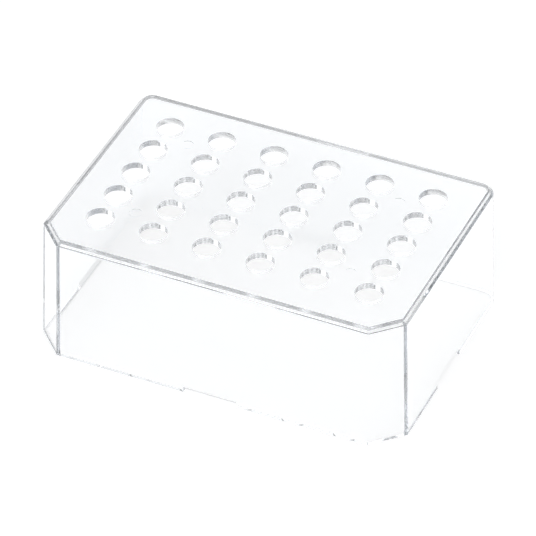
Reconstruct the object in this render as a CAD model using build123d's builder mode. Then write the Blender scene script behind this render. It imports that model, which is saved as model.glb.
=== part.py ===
from build123d import *
import os
from math import radians, tan

# Microcentrifuge tube rack: one clear polystyrene moulding, a deck of tube holes on four drafted walls, open
# below. Lengths are in millimetres and angles in degrees. The origin is the centre of the base, +X runs along
# the long side, +Y points to the back, where the corners are round, and +Z is up. The two front corners are
# cut off.

# ---- shell, with its plan sizes measured at the base ----
base_length = 151.8
base_width = 104.1
height = 53.8
draft_angle = 1.85         # every wall leans in by this much towards the deck
wall_thickness = 2.2
deck_thickness = 2.6
front_corner_cut = 11.7    # leg of the 45 degree cut
back_corner_radius = 7.3
front_edge_radius = 1.0    # on the four upright edges of the cut corners
front_edge_inner_radius = 0.5
top_edge_bevel = 2.0       # leg of the 45 degree bevel around the deck
bevel_edge_radius = 0.5    # softens both edges of that bevel
inner_edge_radius = 0.8    # where the underside of the deck meets the walls

# ---- tube holes, for 1.5 ml tubes ----
hole_diameter = 11.0
hole_columns = 6
hole_rows = 5
column_pitch = 22.0
row_pitch = 15.5
grid_shift = 1.2           # the grid stands this far behind the centre, clear of the cut corners

# ---- ejector marks in the deck ----
mark_diameter = 5.0
mark_depth = 0.2

# ---- lift reliefs, a bevel under the middle of each wall ----
relief_width = 22.0
relief_height = 2.5
relief_land = 0.3          # flat left at the wall's inner edge
relief_overcut = 1.0       # how far the cutter reaches past the wall and the base

draft_slope = tan(radians(draft_angle))


def upright_edges(builder):
    """The four upright edges where the cut corners meet the walls."""
    upright = builder.edges().filter_by(lambda e: abs(e.tangent_at(0.5).Z) > 0.9)
    return upright.filter_by(lambda e: e.center().Y < 0)


# ---- outline at the base, and the core that leaves the hollow ----
with BuildSketch() as base_outline:
    Rectangle(base_length, base_width)
    chamfer(base_outline.vertices().group_by(Axis.Y)[0], front_corner_cut)
    fillet(base_outline.vertices().group_by(Axis.Y)[-1], back_corner_radius)

with BuildSketch() as core_outline:
    add(base_outline.sketch)
    offset(amount=-wall_thickness, kind=Kind.INTERSECTION, mode=Mode.REPLACE)

with BuildPart() as core:
    add(core_outline.sketch)
    extrude(amount=height - deck_thickness, taper=draft_angle)
    fillet(upright_edges(core), front_edge_inner_radius)
    fillet(core.faces().sort_by(Axis.Z)[-1].edges(), inner_edge_radius)


# ---- tube rack ----
with BuildPart() as tube_rack:
    add(base_outline.sketch)
    extrude(amount=height, taper=draft_angle)
    chamfer(tube_rack.faces().sort_by(Axis.Z)[-1].edges(), top_edge_bevel)
    around_bevel = tube_rack.edges().filter_by(lambda e: e.center().Z > height - 1.5 * top_edge_bevel)
    fillet(around_bevel.filter_by(lambda e: abs(e.tangent_at(0.5).Z) < 0.2), bevel_edge_radius)
    fillet(upright_edges(tube_rack), front_edge_radius)
    add(core.part, mode=Mode.SUBTRACT)

    # tube holes
    with BuildSketch(Plane.XY.offset(height)):
        with Locations((0, grid_shift)):
            with GridLocations(column_pitch, row_pitch, hole_columns, hole_rows):
                Circle(hole_diameter / 2)
    extrude(amount=-deck_thickness, mode=Mode.SUBTRACT)

    # ejector marks, each between the four holes of a corner of the grid
    with BuildSketch(Plane.XY.offset(height)):
        with Locations((0, grid_shift)):
            with GridLocations((hole_columns - 2) * column_pitch, (hole_rows - 2) * row_pitch, 2, 2):
                Circle(mark_diameter / 2)
    extrude(amount=-mark_depth, mode=Mode.SUBTRACT)

    # lift reliefs: the bevel runs from the wall's outer face to the land at its inner edge
    for outward, reach in (
        (Vector(0, -1, 0), base_width / 2),
        (Vector(0, 1, 0), base_width / 2),
        (Vector(-1, 0, 0), base_length / 2),
        (Vector(1, 0, 0), base_length / 2),
    ):
        along_wall = outward.cross(Vector(0, 0, 1))
        with BuildSketch(Plane(origin=outward * reach, x_dir=outward, z_dir=along_wall)):
            with BuildLine():
                Polyline(
                    (relief_land - wall_thickness, -relief_overcut),
                    (relief_land - wall_thickness, 0),
                    (-relief_height * draft_slope, relief_height),
                    (relief_overcut, relief_height),
                    (relief_overcut, -relief_overcut),
                    close=True,
                )
            make_face()
        extrude(amount=relief_width / 2, both=True, mode=Mode.SUBTRACT)

tube_rack.part.label = "tube_rack"

os.makedirs("parts", exist_ok=True)
export_step(tube_rack.part, "parts/tube_rack.step")
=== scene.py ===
from math import cos, radians, sin

import bpy
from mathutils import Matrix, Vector


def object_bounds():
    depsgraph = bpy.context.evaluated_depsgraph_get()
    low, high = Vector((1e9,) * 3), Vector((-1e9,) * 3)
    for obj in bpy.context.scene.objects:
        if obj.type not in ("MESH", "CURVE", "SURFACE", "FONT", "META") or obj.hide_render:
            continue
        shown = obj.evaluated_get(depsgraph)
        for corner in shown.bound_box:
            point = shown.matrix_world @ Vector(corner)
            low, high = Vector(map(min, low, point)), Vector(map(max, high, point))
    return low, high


# A clear polystyrene tube rack on a white sweep, in metres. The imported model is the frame: the camera aims at
# its box, the floor lies under it, and its one node gets a clear moulded plastic.

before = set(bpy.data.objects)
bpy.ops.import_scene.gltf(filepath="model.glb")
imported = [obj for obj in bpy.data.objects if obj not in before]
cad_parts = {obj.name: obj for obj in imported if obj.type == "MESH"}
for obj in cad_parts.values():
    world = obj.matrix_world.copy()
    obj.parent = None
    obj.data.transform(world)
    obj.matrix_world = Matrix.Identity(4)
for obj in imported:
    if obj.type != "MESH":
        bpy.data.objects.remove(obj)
cad_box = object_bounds()
low, high = (Vector(corner) for corner in cad_box)
centre = (low + high) / 2

# ---- camera, seen from the front right and above ----
VIEW_AZIMUTH = 24.097      # degrees from the front, towards the right
VIEW_ELEVATION = 38.835    # degrees above the floor
VIEW_DISTANCE = 1.6846
VIEW_LENS = 293.7          # mm
SENSOR_WIDTH = 36.0        # mm
VIEW_REACH = 50.0          # how far the camera sees, past the far edge of the floor
AIM_OFFSET = Vector((-0.00438, 0.01159, -0.01152))    # from the middle of the rack's box

# ---- floor ----
FLOOR_SIZE = 8.0
FLOOR_GAP = 0.0002         # keeps the rack's foot just off the floor
FLOOR_COLOUR = 0.5
FLOOR_GLOW = 0.79          # the overlit sweep as the eye sees it, mirrored or through the plastic
FLOOR_STRAIGHT = 0.94      # share of that glow that the camera sees straight, which is just over white
PAINTED_SHADOW_REACH = 0.001      # how far from the foot the floor's glow is darkened, a painted contact shadow
PAINTED_SHADOW_LEVEL = 0.45       # what is left of the glow where the foot stands, in that painted shadow

# ---- room: dim walls that go dark overhead, and soft panels, in radiance ----
ROOM_LEVEL = 0.2           # radiance of the walls
ROOM_COLOUR = (0.96, 0.98, 1.0, 1.0)
DARK_FROM = 0.55           # height on the unit sphere where the room begins to darken
DARK_BY = 0.85             # and where it is black
PANELS = {
    # name: azimuth from +X towards +Y, elevation, tightness of the cosine lobe, radiance at its middle
    "front softbox": (258.0, 22.0, 6.0, 2.7),
    "front right softbox": (320.0, 20.0, 10.0, 1.8),
    "back panel": (86.0, 44.0, 14.0, 2.6),
}

# ---- clear polystyrene ----
PLASTIC_IOR = 1.59
PLASTIC_TINT = (0.985, 0.99, 0.995, 1.0)
ABSORBED_COLOUR = (0.0, 0.07, 0.18, 1.0)
ABSORPTION = 1.6                # per metre, in red
MATTE_TOP = high.z - 0.0022     # the matte texture on the core side of the deck lies between these heights
MATTE_BOTTOM = high.z - 0.0036
MATTE_LEVEL_FACE = 0.15         # least upward part of the normal of a matte face, so the walls stay clear
MATTE_ROUGHNESS = (0.14, 0.22)
MATTE_GRAIN = 900.0             # noise cells per metre
GRAIN_RANGE = (0.3, 0.7)        # the part of the noise that runs through the roughnesses
RELIEF_TOP = low.z + 0.0027     # the bevelled lift reliefs are matte too, and lie below this height
RELIEF_UPWARD = 0.95            # greatest upward part of the normal there, so the foot stays clear
RELIEF_ROUGHNESS = 0.5
FLOW_SCALE = 45.0               # slow waves that the melt leaves in the skin, in cells per metre
FLOW_DETAIL = 1.0
FLOW_DEPTH = 0.000008

RAY_BOUNCES = 256          # light runs a long way inside clear walls


def math_node(nodes, links, operation, first, second=0.0):
    """A Math node fed with sockets or numbers; returns its output."""
    node = nodes.new("ShaderNodeMath")
    node.operation = operation
    for socket, value in zip(node.inputs, (first, second)):
        if isinstance(value, (int, float)):
            socket.default_value = value
        else:
            links.new(value, socket)
    return node.outputs[0]


def map_range(nodes, links, value, source, target, smooth=False):
    """A Map Range node from the source pair to the target pair; returns its output."""
    node = nodes.new("ShaderNodeMapRange")
    if smooth:
        node.interpolation_type = "SMOOTHSTEP"
    node.inputs["From Min"].default_value, node.inputs["From Max"].default_value = source
    node.inputs["To Min"].default_value, node.inputs["To Max"].default_value = target
    links.new(value, node.inputs["Value"])
    return node.outputs[0]


def height_of(nodes, links, vector):
    """The Z part of a vector socket."""
    node = nodes.new("ShaderNodeSeparateXYZ")
    links.new(vector, node.inputs[0])
    return node.outputs["Z"]


def new_material(name):
    """An empty node material; returns it with its nodes and links."""
    material = bpy.data.materials.new(name)
    material.use_nodes = True
    material.node_tree.nodes.clear()
    return material, material.node_tree.nodes, material.node_tree.links


def add_camera():
    """The photograph's view: the camera looks at a point near the middle of the rack."""
    data = bpy.data.cameras.new("camera")
    data.lens = VIEW_LENS
    data.sensor_width = SENSOR_WIDTH
    data.clip_end = VIEW_REACH
    camera = bpy.data.objects.new("camera", data)
    bpy.context.scene.collection.objects.link(camera)
    camera.rotation_euler = (radians(90.0 - VIEW_ELEVATION), 0.0, radians(VIEW_AZIMUTH))
    backward = camera.rotation_euler.to_matrix() @ Vector((0.0, 0.0, 1.0))
    camera.location = centre + AIM_OFFSET + backward * VIEW_DISTANCE
    bpy.context.scene.camera = camera


def floor_material():
    """White paper: it takes the rack's shadow, and glows only for rays that the eye follows to it. A painted
    contact shadow dims that glow under the foot.
    """
    material, nodes, links = new_material("floor_white")
    path = nodes.new("ShaderNodeLightPath")
    glossy, transmitted = path.outputs["Is Glossy Ray"], path.outputs["Is Transmission Ray"]
    mirrored = math_node(nodes, links, "MAXIMUM", glossy, transmitted)

    # painted contact shadow: for rays that pass through or are mirrored in the plastic, ambient occlusion dims
    # the floor's glow right under the foot
    painted_contact_shadow = nodes.new("ShaderNodeAmbientOcclusion")
    painted_contact_shadow.inputs["Distance"].default_value = PAINTED_SHADOW_REACH
    painted_shade = map_range(nodes, links, painted_contact_shadow.outputs["AO"], (0.0, 1.0), (PAINTED_SHADOW_LEVEL, 1.0))
    mirrored = math_node(nodes, links, "MULTIPLY", mirrored, painted_shade)
    straight = math_node(nodes, links, "MULTIPLY", path.outputs["Is Camera Ray"], FLOOR_STRAIGHT)
    seen = math_node(nodes, links, "MAXIMUM", straight, mirrored)

    glow = nodes.new("ShaderNodeEmission")
    links.new(math_node(nodes, links, "MULTIPLY", seen, FLOOR_GLOW), glow.inputs["Strength"])
    paper = nodes.new("ShaderNodeBsdfDiffuse")
    paper.inputs["Color"].default_value = (FLOOR_COLOUR, FLOOR_COLOUR, FLOOR_COLOUR, 1.0)
    both = nodes.new("ShaderNodeAddShader")
    links.new(paper.outputs[0], both.inputs[0])
    links.new(glow.outputs[0], both.inputs[1])
    output = nodes.new("ShaderNodeOutputMaterial")
    links.new(both.outputs[0], output.inputs["Surface"])
    return material


def add_floor():
    """A wide white sweep under the rack."""
    half = FLOOR_SIZE / 2
    z = low.z - FLOOR_GAP
    corners = [(-half, -half, z), (half, -half, z), (half, half, z), (-half, half, z)]
    mesh = bpy.data.meshes.new("floor")
    mesh.from_pydata(corners, [], [(0, 1, 2, 3)])
    mesh.materials.append(floor_material())
    floor = bpy.data.objects.new("floor", mesh)
    bpy.context.scene.collection.objects.link(floor)


def add_room():
    """The studio as a world: it lights the rack and shows in it, but the camera sees plain white instead."""
    world = bpy.data.worlds.new("studio")
    world.use_nodes = True
    bpy.context.scene.world = world
    nodes, links = world.node_tree.nodes, world.node_tree.links
    nodes.clear()
    direction = nodes.new("ShaderNodeTexCoord").outputs["Generated"]
    height = height_of(nodes, links, direction)
    level = map_range(nodes, links, height, (DARK_FROM, DARK_BY), (ROOM_LEVEL, 0.0), smooth=True)
    for name, (azimuth, elevation, tightness, strength) in PANELS.items():
        azimuth, elevation = radians(azimuth), radians(elevation)
        towards = nodes.new("ShaderNodeVectorMath")
        towards.operation = "DOT_PRODUCT"
        towards.label = name
        links.new(direction, towards.inputs[0])
        towards.inputs[1].default_value = (
            cos(azimuth) * cos(elevation), sin(azimuth) * cos(elevation), sin(elevation))
        facing = math_node(nodes, links, "MAXIMUM", towards.outputs["Value"], 0.0)
        spread = math_node(nodes, links, "POWER", facing, tightness)
        level = math_node(nodes, links, "ADD", level, math_node(nodes, links, "MULTIPLY", spread, strength))
    room = nodes.new("ShaderNodeBackground")
    room.inputs["Color"].default_value = ROOM_COLOUR
    links.new(level, room.inputs["Strength"])
    white = nodes.new("ShaderNodeBackground")
    choice = nodes.new("ShaderNodeMixShader")
    links.new(nodes.new("ShaderNodeLightPath").outputs["Is Camera Ray"], choice.inputs[0])
    links.new(room.outputs[0], choice.inputs[1])
    links.new(white.outputs[0], choice.inputs[2])
    output = nodes.new("ShaderNodeOutputWorld")
    links.new(choice.outputs[0], output.inputs["Surface"])


def clear_polystyrene():
    """Polished clear plastic with faint flow waves, matte on the core side of the deck and in the reliefs."""
    material, nodes, links = new_material("clear_polystyrene")
    plastic = nodes.new("ShaderNodeBsdfPrincipled")
    plastic.inputs["Base Color"].default_value = PLASTIC_TINT
    plastic.inputs["IOR"].default_value = PLASTIC_IOR
    plastic.inputs["Transmission Weight"].default_value = 1.0

    geometry = nodes.new("ShaderNodeNewGeometry")
    height = height_of(nodes, links, geometry.outputs["Position"])
    upward = math_node(nodes, links, "ABSOLUTE", height_of(nodes, links, geometry.outputs["True Normal"]))
    level_face = math_node(nodes, links, "GREATER_THAN", upward, MATTE_LEVEL_FACE)

    # the core side of the deck, with its grain
    under_top = math_node(nodes, links, "LESS_THAN", height, MATTE_TOP)
    over_bottom = math_node(nodes, links, "GREATER_THAN", height, MATTE_BOTTOM)
    core_side = math_node(nodes, links, "MULTIPLY", under_top, over_bottom)
    core_side = math_node(nodes, links, "MULTIPLY", core_side, level_face)

    place = nodes.new("ShaderNodeTexCoord").outputs["Object"]
    grain = nodes.new("ShaderNodeTexNoise")
    grain.inputs["Scale"].default_value = MATTE_GRAIN
    links.new(place, grain.inputs["Vector"])
    matte = map_range(nodes, links, grain.outputs[0], GRAIN_RANGE, MATTE_ROUGHNESS)
    core_roughness = math_node(nodes, links, "MULTIPLY", core_side, matte)

    # the bevels of the lift reliefs
    sloping = math_node(nodes, links, "LESS_THAN", upward, RELIEF_UPWARD)
    sloping = math_node(nodes, links, "MULTIPLY", level_face, sloping)
    near_foot = math_node(nodes, links, "LESS_THAN", height, RELIEF_TOP)
    relief = math_node(nodes, links, "MULTIPLY", near_foot, sloping)
    relief_roughness = math_node(nodes, links, "MULTIPLY", relief, RELIEF_ROUGHNESS)
    roughness = math_node(nodes, links, "MAXIMUM", core_roughness, relief_roughness)
    links.new(roughness, plastic.inputs["Roughness"])

    flow = nodes.new("ShaderNodeTexNoise")
    flow.inputs["Scale"].default_value = FLOW_SCALE
    flow.inputs["Detail"].default_value = FLOW_DETAIL
    links.new(place, flow.inputs["Vector"])
    waves = nodes.new("ShaderNodeBump")
    waves.inputs["Distance"].default_value = FLOW_DEPTH
    links.new(flow.outputs[0], waves.inputs["Height"])
    links.new(waves.outputs[0], plastic.inputs["Normal"])

    body = nodes.new("ShaderNodeVolumeAbsorption")
    body.inputs["Color"].default_value = ABSORBED_COLOUR
    body.inputs["Density"].default_value = ABSORPTION
    output = nodes.new("ShaderNodeOutputMaterial")
    links.new(plastic.outputs[0], output.inputs["Surface"])
    links.new(body.outputs[0], output.inputs["Volume"])
    return material


def dress(rack, material):
    """Every slot of the rack gets the material."""
    if not rack.data.materials:
        rack.data.materials.append(material)
    for slot in rack.material_slots:
        slot.material = material


def set_up_rendering():
    """Plain colours, and enough bounces for the light to leave the plastic."""
    scene = bpy.context.scene
    scene.view_settings.view_transform = "Standard"
    scene.cycles.max_bounces = RAY_BOUNCES
    scene.cycles.glossy_bounces = RAY_BOUNCES
    scene.cycles.transmission_bounces = RAY_BOUNCES


set_up_rendering()
add_camera()
add_floor()
add_room()
dress(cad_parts["tube_rack"], clear_polystyrene())
